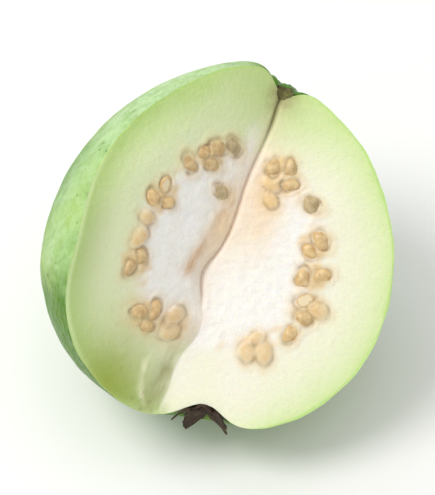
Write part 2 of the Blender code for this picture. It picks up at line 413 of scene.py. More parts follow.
# Layers of the materials, by name: noise as (size in mm, detail, roughness, warp), and the ramp over it.
LAYERS = {
    "skin greens": (
        (16, 4, 0.55, 0.6),
        ((0.3, (0.06, 0.20, 0.001)), (0.5, (0.12, 0.30, 0.002)), (0.7, (0.26, 0.42, 0.01))),
    ),
    "flecks": ((2.4, 4, 0.7), ((0.5, 0.0), (0.75, 0.5))),
    "wax": ((24, 3, 0.5, 0.4), ((0.48, 0.0), (0.75, 0.35))),
    "worn wax": ((3.2, 4, 0.65, 0.8), ((0.32, 0.5), (0.6, 0.95))),
    "pitted places": ((4.5, 2), ((0.42, 0.0), (0.62, 1.0))),
    "scuffs": ((9, 5, 0.7, 1.2), ((0.6, 0.0), (0.72, 0.6))),
    "scar breaks": ((1.2, 3), ((0.3, 0.6), (0.6, 1.0))),
    "skin rough": ((3, 3), ((0.3, 0.28), (0.7, 0.46))),
    "pulp whites": ((3.5, 4, 0.6), ((0.3, (0.93, 0.90, 0.84)), (0.7, (0.97, 0.95, 0.92)))),
    "mark breaks": ((4, 4, 0.6, 0.4), ((0.25, 0.6), (0.65, 1.0))),
    "stain breaks": ((1.6, 3), ((0.25, 0.7), (0.7, 1.0))),
    "flesh rough": ((1.5, 3), ((0.3, 0.32), (0.7, 0.55))),
    "tan husk": ((1.1, 3), ((0.3, (0.62, 0.38, 0.15)), (0.7, (0.84, 0.63, 0.33)))),
    "grey husk": ((1.1, 3), ((0.3, (0.38, 0.29, 0.155)), (0.7, (0.60, 0.49, 0.29)))),
    "seed rough": ((1.1, 3), ((0.3, 0.35), (0.7, 0.5))),
    "bark": (
        (1.1, 4, 0.6),
        ((0.3, (0.016, 0.008, 0.003)), (0.55, (0.05, 0.027, 0.01)), (0.75, (0.13, 0.08, 0.035))),
    ),
    "wood": (
        (0.7, 3, 0.6),
        ((0.3, (0.06, 0.05, 0.012)), (0.6, (0.15, 0.14, 0.035)), (0.8, (0.27, 0.27, 0.08))),
    ),
}

# Noise behind fine relief and ragged edges, as in the layers. A bump has its strength and its height.
GRAINS = {
    "skin": (2.4, 3, 0.5, 0.5),
    "skin fine": (0.8, 3, 0.6),
    "flesh": (1.1, 3),
    "flesh fine": (0.35, 3, 0.6),
    "flesh patches": (6, 4, 0.55),
    "rim": (0.8, 3),
    "seed": (0.5, 3),
}
SKIN_FINE = 0.4
FLESH_FINE = 0.5
BUMPS = {
    "skin": (0.9, 0.6 * MM),
    "flesh": (0.55, 0.35 * MM),
    "seed": (0.3, 0.2 * MM),
    "bark": (0.45, 0.2 * MM),
}

# The skin's pits and its peel, with sizes in mm and heights as shares of its bump, and its marks' colours.
PIT_SPACING = 2.2
PIT_STOPS = ((0.08, 0.9), (0.2, 0.0))
PIT_DEPTH = 0.6
PEEL_SIZE = 1.3
PEEL_SMOOTHNESS = 0.6
PEEL_HEIGHT = 0.45
FLECK_COLOUR = (0.27, 0.50, 0.04)
# The bloom's colour also paints the sheen beside the left cut, and the shaded green is painted shade.
BLOOM_AND_SHEEN_COLOUR = (0.48, 0.68, 0.34)
PIT_COLOUR = (0.05, 0.13, 0.008)
SCUFF_COLOUR = (0.25, 0.21, 0.05)
SHADED_GREEN_MARK = ("shaded_green", 0.8, (0.06, 0.18, 0.0005))
SCAR_MARK = ("scar", "scar breaks", (0.07, 0.042, 0.014))

# The flesh ripens from its green rim inwards, fully at a depth in mm, and not quite evenly.
RIPE_AT = 16
PATCH_STRETCH = 5.0
PATCH_SHARE = 0.03
FLESH_STOPS = (
    (0.0, (0.60, 0.78, 0.30)),
    (0.06, (0.70, 0.83, 0.42)),
    (0.2, (0.79, 0.87, 0.54)),
    (0.45, (0.87, 0.89, 0.66)),
    (0.75, (0.915, 0.90, 0.74)),
    (1.0, (0.925, 0.90, 0.78)),
)
RIM_RAGGED = 0.5
RIM_STOPS = ((0.0, 1.0), (0.3, 0.0))
RIM_COLOUR = (0.52, 0.76, 0.26)
KERNEL_COLOUR = (0.84, 0.70, 0.46)

# Marks on the flesh, laid on in turn: the value that says where, a strength or a layer, and a colour.
MARKS_UNDER_PULP = (
    ("verge", 0.6, (0.44, 0.63, 0.19)),
    # The edge is a painted highlight along the left rim.
    ("edge", 1.0, (0.76, 0.91, 0.52)),
    ("shoulder", 0.8, (0.58, 0.71, 0.30)),
    ("olive", 0.9, (0.35, 0.44, 0.06)),
)
MARKS_OVER_PULP = (
    ("crease", 0.35, (0.86, 0.66, 0.50)),
    ("warm", "mark breaks", (0.88, 0.67, 0.42)),
    ("smear", "mark breaks", (0.66, 0.43, 0.24)),
    ("band", "mark breaks", (0.37, 0.36, 0.14)),
    ("strand", 1.0, (0.84, 0.85, 0.54)),
    ("vein", 0.8, (0.25, 0.20, 0.065)),
    ("stain", "stain breaks", (0.80, 0.57, 0.28)),
    # This mark is painted shade in the gaps round the seeds, and dark specks.
    ("gap_shade_and_specks", 0.65, (0.29, 0.19, 0.07)),
)

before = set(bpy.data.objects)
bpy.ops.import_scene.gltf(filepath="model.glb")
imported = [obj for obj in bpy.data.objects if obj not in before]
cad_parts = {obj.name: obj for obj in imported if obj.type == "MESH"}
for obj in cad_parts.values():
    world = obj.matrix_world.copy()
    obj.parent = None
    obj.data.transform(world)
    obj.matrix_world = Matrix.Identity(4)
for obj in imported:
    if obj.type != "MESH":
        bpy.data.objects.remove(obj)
cad_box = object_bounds()


def body_radius(height):
    """The turned body's radius at a height along its axis."""
    if height > WIDEST_AT:
        share = (height - WIDEST_AT) / (STEM_END - WIDEST_AT)
        power = STEM_HALF_POWER
    else:
        share = (WIDEST_AT - height) / (WIDEST_AT - BLOSSOM_END)
        power = BLOSSOM_HALF_POWER
    return BODY_RADIUS * max(0.0, 1 - share**power) ** (1 / power)


def hollow(across, width):
    """The share of a dimple's depth at a distance from its middle."""
    return math.exp(-((across / width) ** 2))


def shape_skin(point):
    """Moves a point of the turned body: furrows, lumps, then the dimple, the low shoulder and the basin."""
    x, y, z = point
    stem_side = max(0.0, 1 - (STEM_END - z) / FURROW_REACH)
    from_stem = math.hypot(x - STEM_AT, y)
    turn = math.atan2(y, x - STEM_AT)
    furrow = FURROW_DEPTH * stem_side * min(1.0, from_stem / STEM_DIMPLE_WIDTH) * math.cos(FURROWS * turn)
    lump = LUMP_HEIGHT * noise.noise(Vector(point) / LUMP_SIZE)
    across = math.hypot(x, y)
    swell = 1 + (furrow + lump) / BODY_RADIUS
    if across > 0:
        x *= swell
        y *= swell
    if z > 0:
        z += (furrow + lump) * (1 - across / BODY_RADIUS)
        z -= STEM_DIMPLE_DEPTH * hollow(from_stem, STEM_DIMPLE_WIDTH)
        z -= SHOULDER_DROP * hollow(math.hypot(point[0] - SHOULDER_AT, y), SHOULDER_WIDTH) * (z / STEM_END)
    else:
        z += BASIN_DEPTH * hollow(math.hypot(x - CALYX_AT, y), BASIN_WIDTH)
    return Vector((x, y, z))


def crease_direction():
    return Vector((math.sin(CREASE_SLANT), 0, math.cos(CREASE_SLANT)))


def outward(face):
    """Unit vector in a cut face, square to the crease and away from it."""
    right = Vector((math.cos(CREASE_SLANT), 0, -math.sin(CREASE_SLANT)))
    if face == "right":
        return right
    return Vector((0, -1, 0)) * math.sin(LEFT_FACE_RISE) - right * math.cos(LEFT_FACE_RISE)


def face_normal(face):
    """Unit vector out of a cut face, into the notch."""
    normal = crease_direction().cross(outward(face))
    return -normal if normal.y > 0 else normal


def fate_of(face, degrees, drawn):
    """How the knife left the seeds of a clump: bare, covered by pulp, or as drawn."""
    if (face, degrees) in DARK_CLUMPS + BARE_CLUMPS:
        return "bare"
    return "covered" if (face, degrees) in COVERED_CLUMPS else drawn


def seeds_of_faces():
    """Every seed of both faces: its place, its turn in the face, and how the knife left it."""
    draw = random.Random(SEED_DRAW)
    fate = random.Random(FATE_DRAW)
    up = crease_direction()
    found = []
    for face, clumps in (("right", RIGHT_CLUMPS), ("left", LEFT_CLUMPS)):
        out = outward(face)
        normal = face_normal(face)
        lie = normal.to_track_quat("Z", "Y").to_matrix()
        for degrees, ring, count in clumps:
            angle = math.radians(degrees)
            is_dark = (face, degrees) in DARK_CLUMPS
            middle = (up * math.cos(angle) + out * math.sin(angle)) * ring * MM
            spread = 0 if count == 1 else SEED_SPACING / 2 / math.sin(math.pi / count)
            first = draw.uniform(0, 2 * math.pi)
            for place in range(count):
                turn = first + 2 * math.pi * place / count
                beside = (up * math.cos(turn) + out * math.sin(turn)) * spread
                size = draw.uniform(*SEED_SIZES)
                spin = Matrix.Rotation(draw.uniform(0, math.pi), 3, "Z")
                tip = Matrix.Rotation(draw.uniform(-SEED_TIP, SEED_TIP), 3, "X")
                sunk = middle + beside + normal * (SEED_PROUD - SEED_THICKNESS * size / 2)
                drawn = None if is_dark else fate.choices(list(FATES), list(FATES.values()))[0]
                found.append(
                    {
                        "face": face,
                        "at": middle + beside,
                        "size": size,
                        "flat": lie @ spin,
                        "clump": middle,
                        "clump_reach": spread + CLUMP_MARGIN,
                        "turn": Matrix.Translation(sunk) @ (lie @ spin @ tip).to_4x4(),
                        "kind": fate_of(face, degrees, drawn),
                        "shade": fate.uniform(*(DARK_SHADES if is_dark else TAN_SHADES)),
                        "taper": fate.uniform(*TAPERS),
                    }
                )
    return found


def whole_fruit():
    """The uncut fruit as a search tree, for rays from its middle."""
    points = []
    for row in range(DENSE_ROWS + 1):
        turn = math.pi * row / DENSE_ROWS
        end = STEM_END if turn < math.pi / 2 else BLOSSOM_END
        height = WIDEST_AT + (end - WIDEST_AT) * abs(math.cos(turn))
        radius = body_radius(height)
        for side in range(DENSE_TURNS):
            angle = 2 * math.pi * side / DENSE_TURNS
            points.append(shape_skin((radius * math.cos(angle), radius * math.sin(angle), height)))
    faces = []
    for row in range(DENSE_ROWS):
        for side in range(DENSE_TURNS):
            following = (side + 1) % DENSE_TURNS
            upper = row * DENSE_TURNS
            lower = upper + DENSE_TURNS
            faces.append((upper + side, lower + side, lower + following, upper + following))
    return BVHTree.FromPolygons(points, faces)


def skin_point(tree, polar, turn):
    """Where a ray from the middle leaves the fruit: polar starts at the crease, and turn goes round it."""
    across = outward("right") * math.cos(turn) + Vector((0, 1, 0)) * math.sin(turn)
    ray = crease_direction() * math.cos(polar) + across * math.sin(polar)
    return tree.ray_cast(Vector((0, 0, 0)), ray)[0]


def rim_bend(polar):
    """How far the left cut turns away from its plane at the rim."""
    degrees = math.degrees(polar)
    return math.radians(sum(size * float(bell(degrees, middle, width)) for size, middle, width in RIM_BENDS))


def smooth_step(low, high, value):
    """Runs smoothly from 0 at the low value to 1 at the high one."""
    share = np.clip((value - low) / (high - low), 0, 1)
    return share * share * (3 - 2 * share)


def bell(value, middle, width):
    """1 at the middle value, and less to both sides of it."""
    return np.exp(-(((value - middle) / width) ** 2))


def fade(value, strength, near, far):
    """A strength that holds up to the near value and is gone at the far one."""
    return strength * (1 - smooth_step(near, far, value))


def ridge(value, strength, middle, width):
    """A strength that is full at the middle value, and less to both sides of it."""
    return strength * bell(value, middle, width)


def uneven(lumps, base, swing, low=0, high=1):
    """A strength that varies with noise and stays between two limits."""
    return np.clip(base + swing * lumps, low, high)


def wave(points, size, number):
    """Smooth noise of about -1 to 1 at each point, with lumps of a given size in metres."""
    shift = Vector([number * step for step in NOISE_STEP])
    return np.array([noise.noise(Vector(point) / size + shift) for point in points])


def ripple(points, name):
    """The noise that the table gives by this name, at each point."""
    size, height, number = NOISE[name]
    return height * wave(points, size * MM, number)


def fine_skin(points):
    """The small unevenness of the skin: shallow bumps, dents, and wrinkles that run out from the stem."""
    directions = points / np.linalg.norm(points, axis=1)[:, None]
    small = ripple(points, "skin bumps") + ripple(points, "skin grain")
    # Short dents lie across the rows in loose groups, as on a fruit that has begun to shrink.
    dents = uneven(ripple(points * np.array(DENT_STRETCH), "dents"), -DENT_LIMIT, 1)
    small -= DENT_DEPTH * dents * uneven(ripple(points, "dent groups"), DENT_LIMIT, 1)
    turn = np.arctan2(points[:, 1], points[:, 0] - STEM_AT)
    from_stem = np.hypot(points[:, 0] - STEM_AT, points[:, 1])
    near = np.clip(1 - (STEM_END - points[:, 2]) / WRINKLE_REACH, 0, 1)
    near *= np.clip(from_stem / WRINKLE_START, 0, 1)
    wrinkle = WRINKLE_HEIGHT * near * np.sin(WRINKLES * turn + ripple(points, "wrinkle sway"))
    return points + directions * (small + wrinkle)[:, None]


def skin_marks(points):
    """How brown the skin is round the calyx and the stem, and its painted sheen and painted shade beside the
    left cut.
    """
    ragged = ripple(points, "skin lobes")
    from_calyx = np.hypot(points[:, 0] - CALYX_AT, points[:, 1]) + ragged
    from_stem = np.hypot(points[:, 0] - STEM_AT, points[:, 1]) + ragged / 2
    is_low = points[:, 2] < 0
    along = points @ np.array(crease_direction()) + 2 * ragged
    behind = 2 * ragged - points @ np.array(face_normal("left"))
    outside = smooth_step(*PAINTED_STRIP_SIDE, points @ np.array(outward("left")))
    # Above this height the strip beside the left cut is painted sheen, dimmer lower down; below it, painted
    # shade.
    upper = smooth_step(SHEEN_FROM, SHEEN_FROM + SHEEN_EDGE, along)
    thick = SHADED_SHEEN + (1 - SHADED_SHEEN) * smooth_step(*SHEEN_BRIGHTENS, along)
    return {
        "scar": np.where(is_low, fade(from_calyx, *CALYX_STAIN), fade(from_stem, *STEM_STAIN)),
        "bloom_and_sheen": fade(behind, outside, *SHEEN_BEHIND) * upper * thick,
        "shaded_green": fade(behind, outside, *SHADED_GREEN_BEHIND) * (1 - upper),
    }


def seed_reach(points, seed):
    """How far face points lie from a seed's middle, as a share of its half width and half length."""
    away = (points - np.array(seed["at"])) @ np.array(seed["flat"])
    return np.hypot(away[:, 0] / (SEED_WIDTH / 2), away[:, 1] / (SEED_LENGTH / 2)) / seed["size"]


def crease_shift(along):
    """How far the knife's crease strays along the right face, at a distance up from the middle."""
    shift = WAVER_HEIGHT * np.sin(along / WAVER_SIZE)
    for far, middle, width in CREASE_STRAYS:
        shift = shift + ridge(along, far * MM, middle * MM, width * MM)
    return shift


def streaks(along, beside):
    """Smooth noise of about -1 to 1 at face points, drawn out along the crease."""
    width, length, number = STREAKS
    return np.array([noise.noise(Vector((b / width, a / length, number))) for a, b in zip(along, beside)])


def patch(along, beside, ellipse):
    """A soft patch of a face: full in its middle, faint at its half length and half width."""
    middle_along, middle_beside, long, wide = (value * MM for value in ellipse)
    return bell(along, middle_along, long) * bell(beside, middle_beside, wide)


def between(along, beside, ends, bow=0.0):
    """How far face points lie from a mark in metres, and their share of the way along it. A bow is in mm."""
    start, end = (np.array(place) * MM for place in ends)
    run = end - start
    away = np.stack((along, beside), axis=1) - start
    share = np.clip(away @ run / (run @ run), 0, 1)
    square = np.array((-run[1], run[0])) / np.linalg.norm(run)
    bowed = share[:, None] * run - square * (bow * MM * 4 * share * (1 - share))[:, None]
    return np.linalg.norm(away - bowed, axis=1), share


def seed_tissue(points, face, seeds, rough, broken):
    """What the seeds do to a face: how far they lift it, the tan tissue round them, and painted shade in the
    gaps.
    """
    height, stain, gap_shade_and_specks = (np.zeros(len(points)) for _ in range(3))
    patchy = uneven(broken, *SEED_BREAKS)
    for seed in seeds:
        if seed["face"] != face:
            continue
        reach = seed_reach(points, seed) * (1 + SEED_ROUGHNESS * rough)
        clump = np.linalg.norm(points - np.array(seed["clump"]), axis=1) / seed["clump_reach"]
        clump *= 1 + CLUMP_ROUGHNESS * rough
        stain = np.maximum(stain, fade(reach, *SEED_STAIN))
        stain = np.maximum(stain, fade(clump, uneven(patchy, *CLUMP_BREAKS), *CLUMP_FADES))
        if face == "left":
            # Painted shade in a dark gap on the seed's outer side.
            outer = (points - np.array(seed["at"])) @ np.array(seed["at"].normalized()) / (SEED_LENGTH / 2)
            gap_shade_and_specks = np.maximum(gap_shade_and_specks, ridge(reach, *OUTER_GAP_SHADE) * smooth_step(*OUTER_SIDE, outer) * patchy)
        if seed["kind"] == "covered":
            height += COVER_LIFT * np.sqrt(np.clip(1 - (reach / COVER_REACH) ** 2, 0, 1))
            stain = np.maximum(stain, fade(reach, *COVER_STAIN))
            # Painted shade in the gap round a covered seed.
            gap_shade_and_specks = np.maximum(gap_shade_and_specks, ridge(reach, *COVER_GAP_SHADE) * patchy)
        else:
            # Pulp laps over the seed's edge in places and leaves a gap beside it in others, with painted
            # shade in it.
            height += ridge(reach, LIP_HEIGHT * (2 * patchy - 1), *LIP) + ridge(reach, *SWELL)
            gap_shade_and_specks = np.maximum(gap_shade_and_specks, ridge(reach, *EDGE_GAP_SHADE) * (1 - patchy))
    return height, stain, gap_shade_and_specks


def left_marks(points, along, beside, rough, broken):
    """The marks of the left face alone: its strand, smear, band, tan mass, pale patch and specks."""
    found = {}
    ragged = ripple(points, "mark edges")
    drawn_out = streaks(along, beside)
    away, share = between(along, beside, STRAND, STRAND_BOW)
    ends = smooth_step(0, STRAND_STARTS, share) * (1 - share**STRAND_STOPS)
    width = STRAND_WIDTH * uneven(rough, *STRAND_SWELLS)
    found["strand"] = bell(away + STRAND_RAGGED * ragged, 0, width) * ends * uneven(broken, *STRAND_BREAKS)
    away, share = between(along, beside, SMEAR)
    width, strength = (start + SMEAR_GROWS * share for start in SMEAR_STARTS)
    found["smear"] = bell(away + ragged, 0, SMEAR_WIDTH * width) * strength * uneven(drawn_out, *SMEAR_BREAKS)
    away, share = between(along, beside, BAND)
    torn = uneven(BAND_STREAKS * drawn_out + ripple(points, "band breaks"), BAND_COVER, 1)
    strength = BAND_ENDS + ridge(share, 1 - BAND_ENDS, *BAND_DARKEST)
    found["band"] = bell(away + BAND_RAGGED * ragged, 0, BAND_WIDTH) * strength * torn
    away, share = between(along, beside, MASS)
    found["mass"] = MASS_STRENGTH * bell(away + MASS_RAGGED * ragged, 0, MASS_WIDTH) ** MASS_FLATNESS
    found["pale"] = PALE_STRENGTH * patch(along + ragged, beside + ragged, PALE)
    specks = uneven(ripple(points, "specks"), -SPECK_LIMIT, 1)
    found["specks"] = SPECK_STRENGTH * specks * patch(along, beside, SPECKS)
    return found


def face_relief(points, face, seeds):
    """Moves the points of a cut face, and gives the values that its colours follow."""
    along = points @ np.array(crease_direction())
    beside = points @ np.array(outward(face))
    ring = np.hypot(along, beside)
    rough = ripple(points, "rough")
    broken = ripple(points, "broken")
    pulp = fade(ring + ripple(points, "pulp edge"), 1, *PULP_ENDS)
    lift, stain, gap_shade_and_specks = seed_tissue(points, face, seeds, rough, broken)
    grain = (ripple(points, "pulp grain") + ripple(points, "pulp fine")) * (FLESH_GRAIN + pulp)
    height = ripple(points, "face swell") + grain + lift
    joined = uneven(ripple(points, "tissue"), TISSUE_COVER, 1) * smooth_step(*TISSUE_CLEAR, beside)
    joined *= ridge(ring + TISSUE_RAGGED * rough, TISSUE_STRENGTH, SEED_RING, SEED_RING_WIDTH)
    stain = np.maximum(stain, joined)
    from_scar = np.hypot(along - SCAR_AT, beside)
    vein = bell(beside, 0, VEIN_WIDTH) * smooth_step(VEIN_FROM, VEIN_FROM + VEIN_FADE, along)
    marks = {
        "warm": patch(along, beside, WARM[face]),
        "olive": patch(along + OLIVE_RAGGED * rough, beside, OLIVE[face]),
        "shoulder": bell(from_scar, 0, SHOULDER_GREEN),
        "vein": np.maximum(vein, ridge(from_scar + ripple(points, "scar edge"), *SCAR_STAIN)),
    }
    if face == "left":
        own = left_marks(points, along, beside, rough, broken)
        height += STRAND_HEIGHT * own["strand"] - BAND_DEPTH * own["band"]
        stain = np.maximum(stain, own.pop("mass"))
        pulp = np.maximum(pulp, own.pop("pale"))
        gap_shade_and_specks = np.maximum(gap_shade_and_specks, own.pop("specks"))
        marks.update(own)
    # The knife's slit runs down the crease and fades out below the middle. Both faces share its bottom.
    into = -np.array((face_normal("right") + face_normal("left")).normalized())
    slit = ridge(beside, SLIT_DEPTH * smooth_step(SLIT_END, SLIT_END + SLIT_FADE, along), 0, SLIT_WIDTH)
    shift = crease_shift(along) * bell(beside, 0, CREASE_BAND) * fade(abs(along), 1, *CREASE_STEADIES)
    height *= smooth_step(0, RELIEF_FROM, beside)
    moved = points + np.array(face_normal(face)) * height[:, None]
    moved += into * slit[:, None] + np.array(outward("right")) * shift[:, None]
    blush = bell(beside, 0, BLUSH_WIDTH) * smooth_step(*BLUSH_ENDS, along)
    return moved, {"stain": stain, "gap_shade_and_specks": gap_shade_and_specks, "pulp": pulp, "crease": blush, **marks}


def ring_quads(first, second, turned):
    """Quads between two rows of point numbers. Where both rows start or end in one point, a triangle."""
    quads = []
    for step in range(len(first) - 1):
        corners = [first[step], second[step], second[step + 1], first[step + 1]]
        corners = [number for place, number in enumerate(corners) if number not in corners[:place]]
        quads.append(corners[::-1] if turned else corners)
    return quads


def fruit_surface(tree):
    """The cut fruit as one closed surface: the skin and the two cut faces share their rims and the crease."""
    last_turn = math.pi + LEFT_FACE_RISE
    points = []

    def add(new_points):
        points.extend(new_points)
        return list(range(len(points) - len(new_points), len(points)))

    # Rows of the skin run from the stem end to the blossom end, one for each turn round the crease.
    stem_pole, blossom_pole = add([skin_point(tree, 0, 0), skin_point(tree, math.pi, 0)])
    rows = []
    for strip in range(SKIN_STRIPS + 1):
        row = []
        for ray in range(1, RAYS):
            polar = math.pi * ray / RAYS
            row.append(skin_point(tree, polar, (last_turn + rim_bend(polar)) * strip / SKIN_STRIPS))
        rows.append([stem_pole] + add(row) + [blossom_pole])
    skin_count = len(points)
    quads = []
    for first, second in zip(rows, rows[1:]):
        quads += ring_quads(first, second, True)
    skin_quads = len(quads)

    # A cut face is a fan of spokes from the middle to its rim. Its first and last spokes are the crease.
    middle = add([Vector((0, 0, 0))])[0]

    def spoke(end, planar=None):
        """Points from the middle towards a rim point, by way of the cut's plane where the rim lies off it."""
        planar = planar or points[end]
        bent = [float(smooth_step(BEND_FROM, 1, share)) for share in SPOKE_SHARES]
        return add([planar.lerp(points[end], weight) * share for weight, share in zip(bent, SPOKE_SHARES)])

    crease = {0: spoke(stem_pole), RAYS: spoke(blossom_pole)}
    regions = {"crease": [middle] + crease[0] + crease[RAYS]}
    for face, rim, turn in (("right", rows[0], 0), ("left", rows[-1], last_turn)):
        start = len(points)
        spokes = []
        for ray, end in enumerate(rim):
            if ray in crease:
                spokes.append(crease[ray])
            else:
                spokes.append(spoke(end, skin_point(tree, math.pi * ray / RAYS, turn)))
        regions[face] = list(range(start, len(points)))
        fans = [[middle] + inner + [end] for inner, end in zip(spokes, rim)]
        for first, second in zip(fans, fans[1:]):
            quads += ring_quads(first, second, face == "left")
    return np.array([tuple(point) for point in points]), quads, skin_quads, skin_count, rows, regions


def leaned():
    """The turn that leans the fruit's own frame back into the model's frame."""
    return Matrix.Rotation(-LEAN_BACK, 4, "X") @ Matrix.Rotation(ROLL, 4, "Y")


def place_on_cad(points):
    """The move that sets leaned points where the model's fruit lies."""
    low, high = (np.array(corner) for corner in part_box("cut_guava"))
    move = (low + high) / 2 - (points.min(axis=0) + points.max(axis=0)) / 2
    move[2] = high[2] - points[:, 2].max()
    return Vector(move)


def mesh_object(name, points, faces):
    mesh = bpy.data.meshes.new(name)
    mesh.from_pydata([tuple(point) for point in points], [], faces)
    mesh.validate()
    made = bpy.data.objects.new(name, mesh)
    bpy.context.scene.collection.objects.link(made)
    mesh.shade_smooth()
    return made


def set_values(mesh, name, values):
    """Stores one number a point, which a material reads by this name."""
    mesh.attributes.new(name, "FLOAT", "POINT").data.foreach_set("value", np.asarray(values, np.float32))


def depth_values(points, skin_count, regions):
    """How far in from the skin each point of a cut face lies, how ripe, and the left rim's painted highlight
    and verge.
    """
    inward = np.zeros(len(points))
    inward[skin_count] = BODY_RADIUS
    shares = np.tile(SPOKE_SHARES, (len(points) - skin_count - 1) // len(SPOKE_SHARES))
    reach = np.linalg.norm(points[skin_count + 1 :], axis=1)
    inward[skin_count + 1 :] = reach / shares * (1 - shares)
    along = points @ np.array(crease_direction())
    green = STEM_GREENER * smooth_step(*STEM_GREENER_FROM, along)
    ripe = inward * (1 - green + BLOSSOM_RIPER * smooth_step(*BLOSSOM_RIPER_FROM, -along))
    # Painted shade: the left face's flesh is greener and darker.
    ripe[regions["left"]] *= LEFT_FACE_SHADE
    cream = bell(np.linalg.norm(points - np.array(CREAM_AT), axis=1), 0, CREAM_REACH)
    found = {"inward": inward / MM + cream, "ripe": (ripe + cream * CREAM_DEPTH) / MM}
    # Painted highlight: a pale line just inside the left rim.
    edge = ridge(inward, RIM_HIGHLIGHT_STRENGTH, RIM_HIGHLIGHT_AT, RIM_HIGHLIGHT_WIDTH) * fade(along, 1, *RIM_HIGHLIGHT_FADES)
    verge = bell(inward, 0, VERGE_WIDTH) * fade(along, 1, *VERGE_FADES)
    for name, value in (("edge", edge), ("verge", verge)):
        found[name] = np.zeros(len(points))
        found[name][regions["left"]] = value[regions["left"]]
    return found


def make_fruit(tree, seeds):
    """The skin and both cut faces, as one closed mesh. It also returns the lean that set it down."""
    points, quads, skin_quads, skin_count, rows, regions = fruit_surface(tree)
    values = defaultdict(lambda: np.zeros(len(points)))
    moved = points.copy()
    moved[:skin_count] = fine_skin(points[:skin_count])
    for name, value in skin_marks(points[:skin_count]).items():
        values[name][:skin_count] = value
    for face, numbers in (("right", regions["right"] + regions["crease"]), ("left", regions["left"])):
        moved[numbers], found = face_relief(points[numbers], face, seeds)
        for name, value in found.items():
            values[name][numbers] = value
    values.update(depth_values(points, skin_count, regions))

    turn = np.array(leaned())[:3, :3]
    world = moved @ turn.T
    shift = place_on_cad(world)
    world += np.array(shift)
    world[:, 2] = np.maximum(world[:, 2], 0)
    fruit = mesh_object("guava_flesh_and_skin", world, quads)
    for name, value in values.items():
        set_values(fruit.data, name, value)
    slots = np.zeros(len(quads), np.int32)
    slots[skin_quads:] = 1
    fruit.data.polygons.foreach_set("material_index", slots)
    rims = set(rows[0]) | set(rows[-1])
    for edge in fruit.data.edges:
        first, second = edge.vertices
        edge.use_edge_sharp = first in rims and second in rims and abs(first - second) == 1
    return fruit, Matrix.Translation(shift) @ leaned()


def node(tree, kind, inputs=None, **settings):
    """A shader node, its inputs set or linked by name or number."""
    made = tree.nodes.new(kind)
    for key, value in settings.items():
        setattr(made, key, value)
    for key, value in (inputs or {}).items():
        if isinstance(value, bpy.types.NodeSocket):
            tree.links.new(value, made.inputs[key])
        else:
            made.inputs[key].default_value = value
    return made


def ramp(tree, factor, stops):
    """A colour, or a share as a grey, that runs through stops of (place, colour)."""
    made = node(tree, "ShaderNodeValToRGB", {"Fac": factor})
    elements = made.color_ramp.elements
    while len(elements) < len(stops):
        elements.new(0.5)
    for element, (place, colour) in zip(elements, stops):
        element.position = place
        element.color = (*colour, 1) if isinstance(colour, tuple) else (colour, colour, colour, 1)
    return made.outputs["Color"]


def mix(tree, factor, first, second):
    """A mix of two colours, each a socket or a plain colour."""
    first, second = ((*value, 1) if isinstance(value, tuple) else value for value in (first, second))
    return node(tree, "ShaderNodeMix", {0: factor, 6: first, 7: second}, data_type="RGBA").outputs[2]


def maths(tree, operation, first, second=0.0, third=0.0):
    made = node(tree, "ShaderNodeMath", {0: first, 1: second, 2: third}, operation=operation)
    return made.outputs[0]


def value_of(tree, name):
    return node(tree, "ShaderNodeAttribute", attribute_name=name).outputs["Fac"]


def millimetres(tree):
    """The place on the object, in millimetres, so that a texture's scale is one over its size in them."""
    place = node(tree, "ShaderNodeTexCoord").outputs["Object"]
    return node(tree, "ShaderNodeMapping", {"Vector": place, "Scale": (1 / MM,) * 3}).outputs["Vector"]


def clouds(tree, place, size, detail=3, rough=0.5, warp=0.0):
    """Noise of about 0 to 1, with lumps of a size in millimetres."""
    inputs = {"Vector": place, "Scale": 1 / size, "Detail": detail, "Roughness": rough, "Distortion": warp}
    return node(tree, "ShaderNodeTexNoise", inputs).outputs["Fac"]


def new_material(name):
    """A Principled material whose uniform values are set on the shader itself."""
    material = bpy.data.materials.new(name)
    material.use_nodes = True
    tree = material.node_tree
    shader = tree.nodes["Principled BSDF"]
    for key, value in UNIFORM[name].items():
        shader.inputs[key].default_value = value
    return material, tree, shader


def layer(tree, place, name):
    """The colour or share that the table of layers gives by this name: a ramp over noise."""
    lumps, stops = LAYERS[name]
    return ramp(tree, clouds(tree, place, *lumps), stops)


def product(tree, first, second):
    return maths(tree, "MULTIPLY", first, second)


def with_shares(tree, value, *shares):
    """A value plus shares of others, each given as (value, share)."""
    for other, share in shares:
        value = maths(tree, "MULTIPLY_ADD", other, share, value)
    return value


def add_marks(tree, place, body, marks):
    """Lays marks over a colour in turn: each has a strength, or a layer that breaks it up, and a colour."""
    for name, strength, colour in marks:
        share = layer(tree, place, strength) if isinstance(strength, str) else strength
        body = mix(tree, product(tree, value_of(tree, name), share), body, colour)
    return body


def finish_surface(tree, shader, colour, rough, height, bump):
    """Links a colour, a roughness and fine relief to the shader. It returns the relief's normal."""
    tree.links.new(colour, shader.inputs["Base Color"])
    if rough:
        tree.links.new(rough, shader.inputs["Roughness"])
    strength, distance = bump
    inputs = {"Height": height, "Strength": strength, "Distance": distance}
    normal = node(tree, "ShaderNodeBump", inputs).outputs["Normal"]
    tree.links.new(normal, shader.inputs["Normal"])
    return normal


